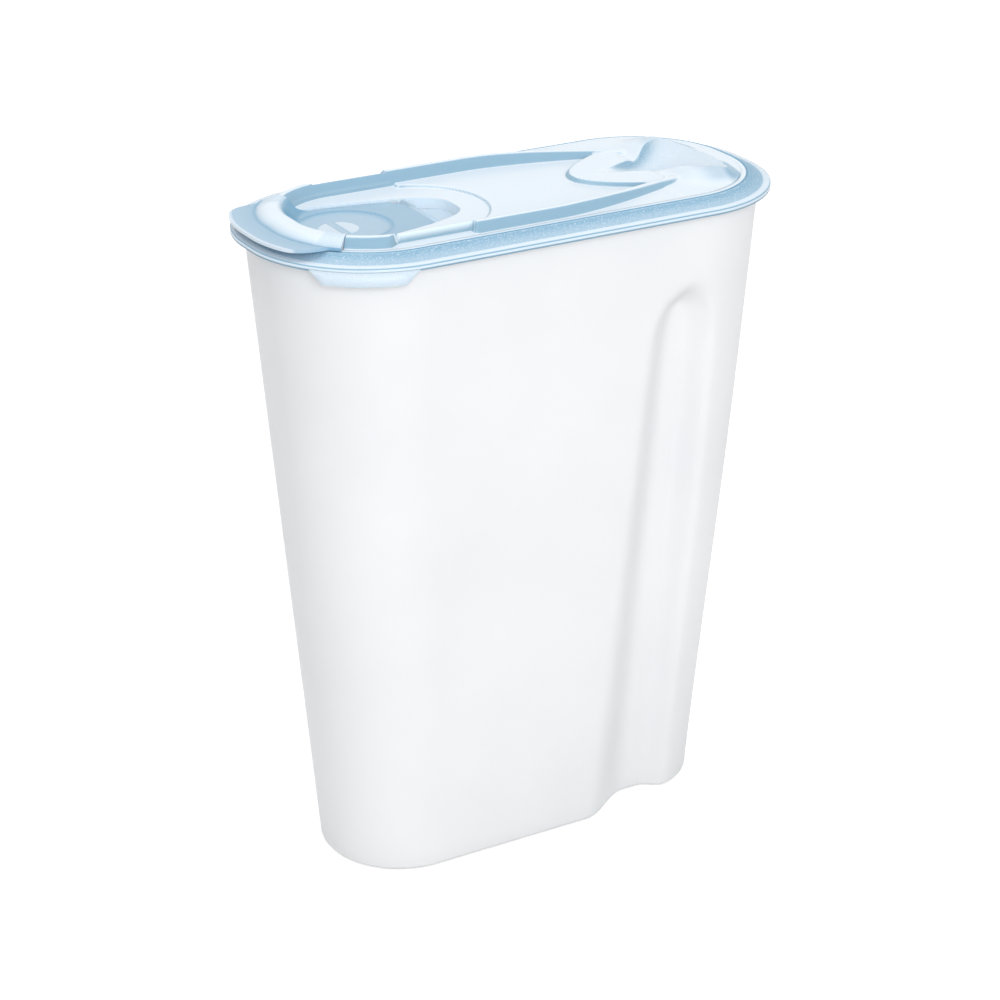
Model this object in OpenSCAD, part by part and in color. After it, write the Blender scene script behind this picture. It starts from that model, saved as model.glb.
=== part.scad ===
// Cereal container with a flip spout: an oval, tapered tub with hand grips in both
// long sides, a press-fit lid and a hinged pouring flap.
// Origin at the middle of the base, +X towards the handle end, +Z up.

/* [Plan of the lid] */
// Overall length over the flange of the lid
lid_l = 227; // [210:1:250]
// Overall width over the flange of the lid
lid_w = 108; // [104:1:120]
// Radius of the four corners of the oval
corner_r = 50; // [46:1:51]

/* [Container] */
// Height of the open rim above the base
rim_z = 272.8; // [250:1:300]
// Inset of the rim from the edge of the lid's flange
rim_inset = 4.9; // [4.6:0.1:5.4]
// Length of the base
base_l = 173.5; // [160:1:190]
// Width of the base
base_w = 68.5; // [62:1:80]
// Radius of the corners of the base
base_r = 33; // [26:1:34]
// How far the base lies towards the handle end
base_shift = 1.2; // [0:0.2:4]
// Thickness of the walls
wall = 1.8; // [1.4:0.1:2.4]
// Thickness of the floor
floor_t = 2.4; // [1.8:0.1:3]
// Height of the rounded edge under the walls
foot_h = 1.6; // [1:0.1:2.4]

/* [Hand grips] */
// Height of the top of the grip's arch
grip_top = 244; // [220:1:246]
// Share of the half width taken away at the base
grip_share_low = 0.4; // [0.3:0.01:0.44]
// Share of the half width taken away under the arch
grip_share_high = 0.17; // [0.1:0.01:0.24]
// Start of the grip at the base, from the middle
grip_x_low = 20; // [14:1:26]
// Start of the grip under the arch, from the middle
grip_x_high = 40; // [34:1:44]
// End of the grip, where the handle column begins
grip_x_end = 55; // [50:1:58]
// Height over which the arch fades into the wall
grip_fade = 15; // [12:1:20]

/* [Lid] */
// Thickness of the lid's moulding
skin = 1.4; // [1.2:0.1:1.6]
// Height of the ridge's crest above the rim of the container
ridge_h = 7.2; // [6:0.2:9]
// Height of the panel above the rim of the container
panel_h = 2.7; // [2.4:0.1:3]
// Step down from the main panel to the pad in front
pad_step = 1.0; // [0.6:0.1:1.2]
// Drop of the flange's lower edge below the rim
flange_drop = 2.1; // [1.8:0.1:3]
// Depth of the lid's inner leg below the rim
leg_drop = 6.3; // [5:0.1:9]
// Position of the step where the pad begins
pad_x = -33.5; // [-36:0.5:-32]
// Radius of the pad's round end
pad_r = 31; // [29:0.5:33]
// How far the pad's round end reaches
pad_tip_x = -16; // [-18:0.5:-14]
// First angle of the pull tab round the corner
tab_from = 36; // [30:1:44]
// Last angle of the pull tab round the corner
tab_to = 85; // [76:1:88]
// Height of the pull tab below the flange
tab_h = 5; // [4:0.5:7]

/* [Well and spout] */
// Tip of the well behind the hinge
well_tip_x = -24; // [-26:0.5:-22]
// Length of the well's pointed part
well_l = 49; // [46:0.5:51]
// Half width of the well where its pointed part ends
well_half = 23.5; // [23:0.25:25]
// Angle round the corner where the flap ends
flap_angle = 48; // [44:1:52]
// Depth of the well's floor below the rim of the container
well_drop = 2.6; // [2.4:0.1:3.4]
// Radius of the pouring hole
spout_r = 19.8; // [17:0.2:20.2]
// Position of the pouring hole
spout_x = -77.5; // [-78.5:0.5:-76.5]

/* [Flap and hinge] */
// Position of the hinge axis
hinge_x = -38.7; // [-40:0.1:-37]
// Radius of the hinge pins
pin_r = 1.0; // [0.9:0.05:1.2]
// Running clearance of the pins, on the radius
pin_gap = 0.05; // [0.03:0.01:0.08]
// Length of each hinge pin
pin_l = 3.2; // [2.4:0.1:3.6]
// Radius of the flap's hinge barrel
barrel_r = 1.7; // [1.6:0.05:1.8]
// Thickness of the flap's tongue
tongue_t = 1.6; // [1.3:0.1:1.7]
// Clearance all round the flap
flap_gap = 0.6; // [0.5:0.05:0.8]
// Angle to each side that the thumb lip covers
lip_angle = 38; // [30:1:44]
// Depth of the plug under the flap
plug_h = 4; // [3:0.2:5]
// Clearance of the plug in the pouring hole
plug_gap = 0.5; // [0.4:0.05:0.7]
// Radius of the dish in the flap
dish_r = 21; // [18:0.5:22]
// Depth of the dish
dish_depth = 0.8; // [0.4:0.1:1]

/* [Thumb rest] */
// Tip of the raised platform at the handle end
rest_tip_x = 28; // [26:0.5:32]
// Height of the platform above the panel
rest_h = 1.8; // [1.4:0.1:2.2]
// How far the ridge's arms draw in towards the long axis
arm_in = 16.5; // [12:0.5:17]
// Where the arms reach their inmost place
arm_end_x = 66; // [64:0.5:70]
// Height of the finger domes above the ledge
dome_h = 3.2; // [2:0.2:4]
// Depth of the scoop below the platform
scoop_d = 4.2; // [3:0.2:4.6]
// Half width of the scoop beside the domes
scoop_half = 15; // [12:0.5:15.5]

/* [Hidden] */
$fn = 96;
fit_gap = 0.3;
body_color = "#eef1f3";
lid_color = "#cfe3f1";

// Plan oval: every outline is the flange's outline moved in or out by an offset.
// It has four quarter-round corners, two long sides and two short flat ends.
corner_x = lid_l / 2 - corner_r;
corner_y = lid_w / 2 - corner_r;
CORNERS = [[corner_x, corner_y], [-corner_x, corner_y], [-corner_x, -corner_y], [corner_x, -corner_y]];

// Points of the oval moved by an offset
function oval_points(offset, n = 20) = [
  for (k = [0:3])
    for (i = [0:n])
      let (a = 90 * (k + i / n))
        CORNERS[k] + (corner_r + offset) * [cos(a), sin(a)]
];

// A profile drawn with x as the offset from the flange's edge, carried round part of a corner
module along_corner(k, from = 0, to = 90) {
  translate([CORNERS[k][0], CORNERS[k][1], 0])
    rotate([0, 0, 90 * k + from])
      rotate_extrude(angle = to - from)
        translate([corner_r, 0])
          children();
}

// The same profile along the straight stretch that follows a corner
module along_straight(k) {
  stretch = k % 2 == 0 ? 2 * corner_x : 2 * corner_y;
  next = CORNERS[(k + 1) % 4];
  translate([next[0], next[1], 0])
    rotate([0, 0, 90 * (k + 1)])
      rotate([90, 0, 0])
        linear_extrude(stretch)
          translate([corner_r, 0])
            children();
}

module along_oval() {
  for (k = [0:3]) {
    along_corner(k) children();
    along_straight(k) children();
  }
}

// The same profile round the end at -X (side = -1) or +X (side = 1), as far as an angle
module round_end(side, reach) {
  first = side < 0 ? 1 : 3;
  along_straight(first) children();
  for (half = [0, 1])
    mirror([0, half, 0])
      along_corner((first + 1) % 4, 0, reach) children();
}

// Heights of the lid
seat_z = rim_z + fit_gap;
rim_top_z = seat_z + skin + 1.3;
ledge_z = rim_top_z + 0.2;
crest_z = rim_z + ridge_h;
panel_z = rim_z + panel_h;
pad_z = panel_z - pad_step;
pad_under_z = pad_z - skin;
floor_z = rim_z - well_drop;
flange_z = rim_z - flange_drop;
leg_z = rim_z - leg_drop;

// Offsets of the lid's profile from the flange's edge
leg_out = -rim_inset - wall - fit_gap;
leg_in = leg_out - skin;
channel_out = -rim_inset + fit_gap;
shoulder_out = channel_out + skin;
groove_in = leg_in - 1.5;
ridge_out = groove_in - 3;
ridge_mid = ridge_out - 4.3;
ridge_in = ridge_mid - 4.6;
panel_edge = ridge_in + skin / 2;

// Smooth step from 0 to 1
function ease(t) = let (u = min(1, max(0, t))) u * u * (3 - 2 * u);
function mix(a, b, t) = a + (b - a) * t;

// Container: rings of points, the outer skin upwards and the inner skin downwards

// Points of one quarter of an oval, from the middle of a side to the end of the corner
function quarter(l, w, r, side_n) =
  let (cx = l / 2 - r, cy = w / 2 - r)
  concat(
    [for (i = [0:side_n - 1]) [cx * i / side_n, w / 2]],
    [for (i = [0:corner_n]) let (a = 90 * (1 - i / corner_n)) [cx + r * cos(a), cy + r * sin(a)]]
  );

side_n = 12;
front_n = 4;
corner_n = 8;

// One ring of the plain tapered oval at a height, moved in by an inset
function plain_ring(z, inset) =
  let (
    t = z / rim_z,
    top_l = lid_l - 2 * (rim_inset + inset),
    top_w = lid_w - 2 * (rim_inset + inset),
    top_r = corner_r - rim_inset - inset,
    low_l = base_l - 2 * inset,
    low_w = base_w - 2 * inset,
    low_r = base_r - inset,
    back_top = quarter(top_l, top_w, top_r, side_n),
    back_low = quarter(low_l, low_w, low_r, side_n),
    front_top = quarter(top_l, top_w, top_r, front_n),
    front_low = quarter(low_l, low_w, low_r, front_n),
    shift = base_shift * (1 - t),
    back = [for (i = [0:len(back_top) - 1]) mix(back_low[i], back_top[i], t)],
    front = [for (i = [0:len(front_top) - 1]) mix(front_low[i], front_top[i], t)],
    nb = len(back) - 1,
    nf = len(front) - 1
  )
  concat(
    [for (i = [nb:-1:0]) [back[i][0] + shift, back[i][1]]],
    [for (i = [1:nf]) [shift - front[i][0], front[i][1]]],
    [for (i = [nf:-1:1]) [shift - front[i][0], -front[i][1]]],
    [for (i = [0:nb]) [back[i][0] + shift, -back[i][1]]]
  );

// Share of the half width that the grip takes away at a place
function grip(x, z) =
  let (
    t = z / grip_top,
    share = mix(grip_share_low, grip_share_high, t),
    arch = 12 * pow(max(0, (z - grip_top + 30) / 30), 2.5),
    start = mix(grip_x_low, grip_x_high, t) + arch,
    run = mix(28, 15, t),
    stop = mix(grip_x_end, grip_x_end + 5, t) - arch / 2,
    column = 0.52 * (1 - ease(z / (grip_top - 40))),
    across = ease((x - start) / run) * mix(1, column, ease((x - stop) / 12))
  )
  share * across * ease((grip_top - z) / grip_fade);

// One ring of the container, with the grips drawn in by the same amount on both skins
function body_ring(z, inset) =
  let (outer = plain_ring(z, 0), moved = inset == 0 ? outer : plain_ring(z, inset))
    [for (i = [0:len(outer) - 1])
      let (dent = outer[i][1] * grip(outer[i][0], max(0, z)))
        [moved[i][0], moved[i][1] - dent, z]];

low_steps = 8;
arch_steps = 8;
wall_z = concat(
  [for (i = [1:low_steps]) mix(foot_h, grip_top - 42, i / low_steps)],
  [for (i = [1:arch_steps]) grip_top - 42 + 45 * i / arch_steps],
  [mix(grip_top + 3, rim_z, 0.5)]
);

container_rings = concat(
  [
    body_ring(0, 1.2),
    body_ring(0.4, 0.35),
    body_ring(foot_h, 0)
  ],
  [for (z = wall_z) body_ring(z, 0)],
  [
    body_ring(rim_z - 0.4, 0),
    body_ring(rim_z, 0.4),
    body_ring(rim_z, wall - 0.4),
    body_ring(rim_z - 0.4, wall)
  ],
  [for (i = [len(wall_z) - 1:-1:0]) body_ring(wall_z[i], wall)],
  [
    body_ring(floor_t + 3.2, wall),
    body_ring(floor_t + 0.8, wall + 0.8),
    body_ring(floor_t, wall + 3)
  ]
);

// A closed solid through rings of equal length. A ring is the same on both sides of the
// long axis, so strips across that axis close the solid at both ends.
module skin_rings(rings) {
  n = len(rings[0]);
  m = len(rings);
  points = [for (ring = rings) each ring];
  sides = [
    for (j = [0:m - 2])
      for (i = [0:n - 1])
        let (k = (i + 1) % n, a = j * n + i, b = j * n + k, c = a + n, d = b + n)
          each [[a, c, b], [b, c, d]]
  ];
  strips = [
    for (i = [0:n / 2 - 2])
      let (a = i, b = n - 1 - i, c = i + 1, d = b - 1)
        each [[a, c, d], [a, d, b]]
  ];
  top = (m - 1) * n;
  lid_strips = [for (t = strips) [top + t[0], top + t[2], top + t[1]]];
  polyhedron(points, concat(strips, sides, lid_strips));
}

module container() {
  color(body_color)
    skin_rings(container_rings);
}

// Outline of the well: a pointed part that opens towards the spout, then the oval's end.
// grow moves the outline outwards, tip_cut leaves out what lies behind that x.
function well_side(grow, n = 14) = [
  for (i = [0:n])
    let (s = well_l * pow(i / n, 3))
      [well_tip_x + grow - s, well_half * pow(s / well_l, 0.31) + grow]
];

function well_corner(grow) =
  let (r = corner_r + ridge_out + 0.6 + grow, a = 180 - flap_angle)
    [-corner_x + r * cos(a), corner_y + r * sin(a) + grow];

function well_end(grow) = [
  for (i = [0:12])
    let (a = 180 - flap_angle * (1 - i / 12), r = corner_r + ridge_out + 0.6 + grow)
      [-corner_x + r * cos(a), corner_y + r * sin(a)]
];

// Both halves of an outline from its half, which starts on the long axis
function both_halves(half) = concat(half, [for (i = [len(half) - 1:-1:1]) [half[i][0], -half[i][1]]]);

module well(grow, low, high) {
  translate([0, 0, low])
    linear_extrude(high - low)
      polygon(both_halves(concat(well_side(grow), [well_corner(grow)], well_end(grow))));
}

// Room for the flap's dome: the well's sides, carried out past the rim
module dome_area(low, high) {
  translate([0, 0, low])
    linear_extrude(high - low)
      polygon(both_halves(concat(well_side(-flap_gap), [well_corner(-flap_gap)], well_end(20))));
}

module plate(offset, low, high) {
  translate([0, 0, low])
    linear_extrude(high - low)
      polygon(oval_points(offset));
}

// Pad: the part of the panel in front of its step, with a round end behind
module pad_area(grow, low, high) {
  translate([-lid_l / 2, -lid_w / 2, low])
    cube([lid_l / 2 + pad_x + grow, lid_w, high - low]);
  translate([pad_tip_x - pad_r, 0, low])
    cylinder(h = high - low, r = pad_r + grow);
}

// Rim of the lid: flange, shoulder, channel over the container's rim and inner leg
module rim_profile() {
  polygon([
    [0, flange_z],
    [0, flange_z + 1.8],
    [-0.5, flange_z + 2.2],
    [shoulder_out + 0.4, flange_z + 2.4],
    [shoulder_out - 0.4, seat_z + 0.9],
    [shoulder_out - 2.2, seat_z + 1.9],
    [shoulder_out - 4.4, seat_z + 2.5],
    [groove_in + 0.6, rim_top_z],
    [groove_in + 0.3, rim_top_z - 0.3],
    [groove_in, rim_top_z],
    [ridge_out - skin / 2, ledge_z],
    [ridge_out - skin / 2, ledge_z - skin],
    [leg_in, ledge_z - skin - 0.2],
    [leg_in - 0.3, leg_z],
    [leg_out - 0.7, leg_z],
    [leg_out, seat_z],
    [channel_out, seat_z],
    [channel_out, flange_z]
  ]);
}

// Ridge: a raised bead, hollow underneath
module ridge_profile(hollow) {
  outer = [
    [ridge_out, ledge_z - skin],
    [ridge_out, ledge_z],
    [ridge_out - 1.7, crest_z - 1],
    [ridge_out - 2.8, crest_z - 0.2],
    [ridge_mid, crest_z],
    [ridge_mid - 1.4, crest_z - 0.2],
    [ridge_mid - 2.6, crest_z - 1],
    [ridge_in, panel_z],
    [ridge_in, pad_under_z]
  ];
  inner = [
    [ridge_in + skin, pad_under_z],
    [ridge_mid - 1.9, crest_z - skin - 1],
    [ridge_mid - 1.1, crest_z - skin - 0.2],
    [ridge_mid + 0.8, crest_z - skin - 0.2],
    [ridge_out - 2.6, crest_z - skin - 0.8],
    [ridge_out - 1.1, ledge_z - skin]
  ];
  polygon(hollow ? concat(outer, inner) : outer);
}

// Handle end of the lid: one skin through sections across the lid. In it the ridge's arms
// draw in and fade, a platform rises from the panel, and a scoop runs between two domes.
rest_z = panel_z + rest_h;
rest_half_max = 25.5;
rest_run = 30;
blunt_half = 6;
edge_run = 0.8;
scoop_tip_x = 42;
scoop_low_x = 66;
dome_from_x = 62;
dome_end_x = 95;

function arm_shift(x) = arm_in * pow(max(0, min(1, x / arm_end_x)), 1.6);
function arm_level(x) = 1 - ease((x - 48) / 26);
function arm_rise(d) = lookup(d, [
  [-ridge_out, 0],
  [1.7 - ridge_out, ridge_h - 1 - (ledge_z - rim_z)],
  [2.8 - ridge_out, crest_z - 0.2 - ledge_z],
  [-ridge_mid, crest_z - ledge_z],
  [1.4 - ridge_mid, crest_z - 0.2 - ledge_z],
  [2.6 - ridge_mid, crest_z - 1 - ledge_z],
  [-ridge_in, 0]
]);
function rest_half(x) = rest_half_max * sqrt(max(0, min(1, (x - rest_tip_x) / rest_run)));
function scoop_wide(x) = mix(1.2, scoop_half, pow(max(0, min(1, (x - scoop_tip_x) / 36)), 0.9));
function scoop_low(x) =
  x < scoop_low_x
    ? rest_z - scoop_d * ease((x - scoop_tip_x) / (scoop_low_x - scoop_tip_x))
    : mix(rest_z - scoop_d, ledge_z - 0.1, ease((x - scoop_low_x) / (dome_end_x - scoop_low_x)));
function dome_rise(x, y) =
  dome_h * ease((x - dome_from_x) / 14) * ease((dome_end_x - y * y / 190 - x) / 4.5) * ease((42 - y) / 22);

// Height of the handle end's skin at x and at y from the long axis
function rest_top(x, y) =
  let (
    d = lid_w / 2 - y - arm_shift(x),
    inside = ease((d + ridge_mid) / (ridge_mid - ridge_in)),
    flat = mix(mix(ledge_z, panel_z, inside), ledge_z, ease((x - 60) / 6)),
    arm = flat + arm_rise(d) * arm_level(x),
    within = x < rest_tip_x ? 0 : ease((rest_half(x) - y) / (2 * edge_run) + 0.5),
    lift = within * (1 - ease((x - 60) / 8)),
    platform = d > -ridge_mid ? mix(panel_z, rest_z, lift) : 0,
    raised = max(arm, platform, x > 56 ? ledge_z + dome_rise(x, y) : 0),
    u = y / scoop_wide(x),
    bowl = scoop_low(x) + (rest_z + 0.3 - scoop_low(x)) * u * u
  )
  x > scoop_tip_x && u < 1.6 ? min(raised, bowl) : raised;

// Half width of the plan at x, at the offset where the skin ends inside the ledge
function skin_half(x) =
  let (r = corner_r + ridge_out)
    x < corner_x ? lid_w / 2 + ridge_out + 0.6 : corner_y + sqrt(pow(r + 0.6, 2) - pow(x - corner_x, 2));

// Distances from the long axis at which a section has its points, from the axis outwards
function section_y(x) =
  let (
    foot = lid_w / 2 + ridge_in - arm_shift(x),
    wide = min(scoop_wide(x), foot - 2.4),
    edge = max(wide + 1, min(foot - 1.2, max(blunt_half, rest_half(x)))),
    shift = arm_shift(x),
    half = skin_half(x),
    lines = [
      0, wide * 0.35, wide * 0.7, wide, mix(wide, edge - edge_run, 0.5), max(wide + 0.1, edge - edge_run), edge + edge_run / 2,
      foot,
      lid_w / 2 + ridge_mid - 2.6 - shift,
      lid_w / 2 + ridge_mid - 1.4 - shift,
      lid_w / 2 + ridge_mid - shift,
      lid_w / 2 + ridge_out - 2.8 - shift,
      lid_w / 2 + ridge_out - 1.7 - shift,
      lid_w / 2 + ridge_out - shift,
      mix(lid_w / 2 + ridge_out - shift, half, 0.4),
      mix(lid_w / 2 + ridge_out - shift, half, 0.75),
      half
    ],
    last = len(lines) - 1
  )
  [for (j = [0:last]) min(lines[j], half - 0.25 * (last - j))];

function rest_section(x) =
  let (
    ys = section_y(x),
    last = len(ys) - 1,
    tops = [for (j = [0:last]) j == last ? ledge_z - 0.2 : rest_top(x, ys[j])],
    upper = [for (j = [last:-1:0]) [x, ys[j], tops[j]]],
    lower = [for (p = upper) [x, p[1], p[2] - skin + (p[1] == ys[last] ? 0.3 : 0)]]
  )
  concat(
    upper,
    [for (j = [1:last]) [x, -ys[j], tops[j]]],
    [for (j = [0:last - 1]) [x, -lower[j][1], lower[j][2]]],
    [for (j = [last:-1:0]) lower[j]]
  );

rest_x = concat(
  [0, 6, 12, 18, 23, 26, 27.2, 28, 28.8, 30, 32, 35],
  [for (x = [38:3:86]) x],
  [88, 89.5, 91, 92.2, 93.4, 94.6, 96, 98, 99.6]
);

module handle_end() {
  skin_rings([for (x = rest_x) rest_section(x)]);
}

hinge_z = pad_z - 2.2;
hinge_s = well_tip_x - hinge_x;
hinge_half = well_half * pow(hinge_s / well_l, 0.31);
boss_r = pad_z - hinge_z;
barrel_half = hinge_half - flap_gap - 0.6;
socket_depth = 0.5 + pin_l;
boss_l = socket_depth + 1;

module hinge_bosses() {
  for (side = [-1, 1])
    translate([hinge_x, side * (hinge_half + boss_l / 2 - 0.5), hinge_z])
      rotate([90, 0, 0])
        cylinder(h = boss_l + 1, r = boss_r, center = true);
}

module hinge_sockets() {
  translate([hinge_x, 0, hinge_z])
    rotate([90, 0, 0])
      cylinder(h = 2 * (barrel_half + pin_l + 0.4), r = pin_r + pin_gap, center = true);
}

module tab_profile() {
  polygon([
    [-skin, flange_z + 0.6],
    [0, flange_z + 0.6],
    [0.6, flange_z - tab_h],
    [-skin + 0.6, flange_z - tab_h]
  ]);
}

module pull_tab() {
  difference() {
    along_corner(2, tab_from, tab_to) tab_profile();
    for (end = [[tab_from, -1], [tab_to, 1]])
      translate([-corner_x, -corner_y, flange_z])
        rotate([0, 0, 180 + end[0]])
          translate([corner_r, 0, 0])
            rotate([end[1] * 45, 0, 0])
              translate([-5, end[1] > 0 ? 0 : -20, -20])
                cube([10, 20, 20]);
  }
}

// The ridge runs round the pouring end, as far as the middle of both long sides
module ridge(hollow) {
  round_end(-1, 90) ridge_profile(hollow);
  for (half = [0, 1])
    mirror([0, half, 0])
      translate([-corner_x, corner_y, 0])
        rotate([0, 0, 90])
          rotate([90, 0, 0])
            linear_extrude(corner_x)
              translate([corner_r, 0])
                ridge_profile(hollow);
}

module lid_shell() {
  along_oval() rim_profile();
  ridge(true);
  difference() {
    plate(panel_edge, pad_under_z, panel_z);
    pad_area(0, pad_z, panel_z + 1);
    difference() {
      plate(ridge_in - skin, pad_under_z - 1, panel_z - skin);
      pad_area(skin, pad_under_z - 2, panel_z);
    }
    translate([0, -lid_w, pad_under_z - 1])
      cube([lid_l, 2 * lid_w, panel_z]);
  }
  well(skin, floor_z - skin, pad_z);
  intersection() {
    ridge(false);
    well(skin, pad_under_z, crest_z + 1);
  }
  hinge_bosses();
}

module lid() {
  color(lid_color) {
    difference() {
      union() {
        lid_shell();
        handle_end();
      }
      well(0, floor_z, crest_z + 2);
      translate([spout_x, 0, floor_z - skin - 1])
        cylinder(h = skin + 2, r = spout_r);
      hinge_sockets();
    }
    pull_tab();
  }
}

// Flap: tongue with its hinge barrel, plug, dome round the spout and thumb lip
tongue_z = hinge_z + 1.1;
notch_l = 4.6;
notch_w = 1.4;
lip_z = rim_top_z + 0.5;
lip_t = 1.2;
dome_out = groove_in + 0.2;
dome_in = ridge_in - 1.4;

module dome_profile() {
  polygon([
    [dome_out + 1, lip_z],
    [dome_out + 1, lip_z + lip_t],
    [dome_out, lip_z + lip_t + 0.2],
    [dome_out - 2.2, crest_z - 0.9],
    [dome_out - 4.6, crest_z],
    [ridge_mid, crest_z + 0.2],
    [ridge_mid - 2, crest_z - 0.4],
    [ridge_mid - 3.8, crest_z - 2],
    [dome_in, tongue_z],
    [dome_in, tongue_z - tongue_t],
    [dome_in + skin, tongue_z - tongue_t],
    [ridge_mid - 2.8, crest_z - skin - 2],
    [ridge_mid - 1.2, crest_z - skin - 0.5],
    [ridge_mid + 0.2, crest_z - skin],
    [dome_out - 4.2, crest_z - skin - 0.2],
    [dome_out - 2.8, crest_z - skin - 1.1],
    [dome_out - 1.2, lip_z]
  ]);
}

module lip_profile() {
  polygon([
    [-0.2, lip_z],
    [0.3, lip_z + 0.4],
    [0.3, lip_z + lip_t - 0.3],
    [-0.1, lip_z + lip_t],
    [dome_out, lip_z + lip_t],
    [dome_out, lip_z]
  ]);
}

module flap() {
  color(lid_color) {
    difference() {
      intersection() {
        well(-flap_gap, tongue_z - tongue_t, tongue_z);
        plate(dome_in + skin / 2, tongue_z - tongue_t, tongue_z);
        translate([-lid_l, -lid_w, tongue_z - 10])
          cube([lid_l + hinge_x, 2 * lid_w, 20]);
      }
      hinge_notches();
      dish_cut();
    }
    intersection() {
      round_end(-1, flap_angle + 18) dome_profile();
      dome_area(tongue_z - tongue_t - 1, crest_z + 1);
    }
    round_end(-1, lip_angle) lip_profile();
    plug();
    translate([hinge_x, 0, hinge_z])
      rotate([90, 0, 0])
        cylinder(h = 2 * barrel_half, r = barrel_r, center = true);
    translate([hinge_x, 0, hinge_z])
      rotate([90, 0, 0])
        cylinder(h = 2 * (barrel_half + pin_l), r = pin_r, center = true);
  }
}

module plug() {
  plug_r = spout_r - plug_gap;
  translate([spout_x, 0, tongue_z - tongue_t - plug_h])
    difference() {
      cylinder(h = plug_h + 0.5, r = plug_r);
      translate([0, 0, -1])
        cylinder(h = plug_h + 1, r = plug_r - skin);
    }
}

// Notches beside the barrel, which let the tongue swing back between the well's walls
module hinge_notches() {
  for (side = [0, 1])
    mirror([0, side, 0])
      translate([hinge_x - notch_l, hinge_half - flap_gap - notch_w, tongue_z - 5])
        cube([notch_l + 1, 10, 10]);
}

// Shallow dish in the tongue, over the pouring hole, with a sloping edge
module dish_cut() {
  translate([spout_x, 0, tongue_z])
    rotate_extrude()
      polygon([
        [0, -dish_depth],
        [dish_r - 3, -dish_depth],
        [dish_r + 1, 0.2],
        [dish_r + 1, 1],
        [0, 1]
      ]);
}

container();
lid();
flap();
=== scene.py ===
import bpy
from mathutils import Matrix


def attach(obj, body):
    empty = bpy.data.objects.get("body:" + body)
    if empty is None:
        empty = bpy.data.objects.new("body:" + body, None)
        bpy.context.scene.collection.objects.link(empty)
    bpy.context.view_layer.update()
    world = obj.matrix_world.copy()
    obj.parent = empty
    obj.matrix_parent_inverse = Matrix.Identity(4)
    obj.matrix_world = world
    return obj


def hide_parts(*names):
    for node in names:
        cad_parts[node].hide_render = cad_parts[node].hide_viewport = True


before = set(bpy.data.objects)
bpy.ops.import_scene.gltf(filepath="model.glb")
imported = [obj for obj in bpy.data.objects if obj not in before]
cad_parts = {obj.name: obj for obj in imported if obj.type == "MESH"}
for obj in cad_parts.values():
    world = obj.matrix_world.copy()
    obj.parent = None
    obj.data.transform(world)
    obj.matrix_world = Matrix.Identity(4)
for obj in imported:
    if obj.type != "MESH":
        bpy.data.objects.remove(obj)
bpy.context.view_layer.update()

import math

import bmesh
import bpy
from mathutils import Vector

# Camera, light and floor.
# The view is the photograph's: from the front, turned to the pouring end, and from above.
# Two broad soft lights in a bright room light it, on a white floor.

MM = 0.001
VIEW_TURN = math.radians(-29.93)
VIEW_RISE = math.radians(24.0)
VIEW_TARGET = Vector((-2.84, 0.39, 142.44)) * MM
VIEW_DISTANCE = 1135.96 * MM
SENSOR = 36
LENS = 98.44

view_back = Vector((
    math.sin(VIEW_TURN) * math.cos(VIEW_RISE),
    -math.cos(VIEW_TURN) * math.cos(VIEW_RISE),
    math.sin(VIEW_RISE),
))
camera_data = bpy.data.cameras.new("camera")
camera_data.lens = LENS
camera_data.sensor_width = SENSOR
camera_data.clip_end = 100
camera = bpy.data.objects.new("camera", camera_data)
camera.location = VIEW_TARGET + view_back * VIEW_DISTANCE
camera.rotation_euler = (-view_back).to_track_quat("-Z", "Y").to_euler()
bpy.context.collection.objects.link(camera)
bpy.context.scene.camera = camera
bpy.context.scene.view_settings.view_transform = "Standard"


def soft_light(name, place, target, size, power):
    data = bpy.data.lights.new(name, "AREA")
    data.shape = "DISK"
    data.size = size
    data.energy = power
    light = bpy.data.objects.new(name, data)
    light.location = place
    light.rotation_euler = (Vector(place) - Vector(target)).to_track_quat("Z", "Y").to_euler()
    bpy.context.collection.objects.link(light)


LID_CENTRE = (0, 0, 0.2)
soft_light("top_light", (-0.3, 0.5, 2.2), LID_CENTRE, 1.4, 13)
soft_light("front_light", (-0.6, -1.9, 1.0), LID_CENTRE, 1.3, 23.5)

world = bpy.data.worlds.new("room")
bpy.context.scene.world = world
world.use_nodes = True
room = world.node_tree
room.nodes.clear()
room_out = room.nodes.new("ShaderNodeOutputWorld")
room_seen = room.nodes.new("ShaderNodeBackground")
room_seen.inputs["Color"].default_value = (1, 1, 1, 1)
room_seen.inputs["Strength"].default_value = 1.0
room_glow = room.nodes.new("ShaderNodeBackground")
room_glow.inputs["Color"].default_value = (0.97, 0.985, 1, 1)
room_glow.inputs["Strength"].default_value = 0.72
room_pick = room.nodes.new("ShaderNodeMixShader")


def seen_rays(tree):
    """1 for rays from the camera, in a gloss or through clear plastic."""
    path = tree.nodes.new("ShaderNodeLightPath")
    either = tree.nodes.new("ShaderNodeMath")
    either.operation = "MAXIMUM"
    tree.links.new(path.outputs["Is Camera Ray"], either.inputs[0])
    tree.links.new(path.outputs["Is Glossy Ray"], either.inputs[1])
    every = tree.nodes.new("ShaderNodeMath")
    every.operation = "MAXIMUM"
    tree.links.new(either.outputs[0], every.inputs[0])
    tree.links.new(path.outputs["Is Transmission Ray"], every.inputs[1])
    return every.outputs[0]


room.links.new(seen_rays(room), room_pick.inputs[0])
room.links.new(room_glow.outputs[0], room_pick.inputs[1])
room.links.new(room_seen.outputs[0], room_pick.inputs[2])
room.links.new(room_pick.outputs[0], room_out.inputs["Surface"])

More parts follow.
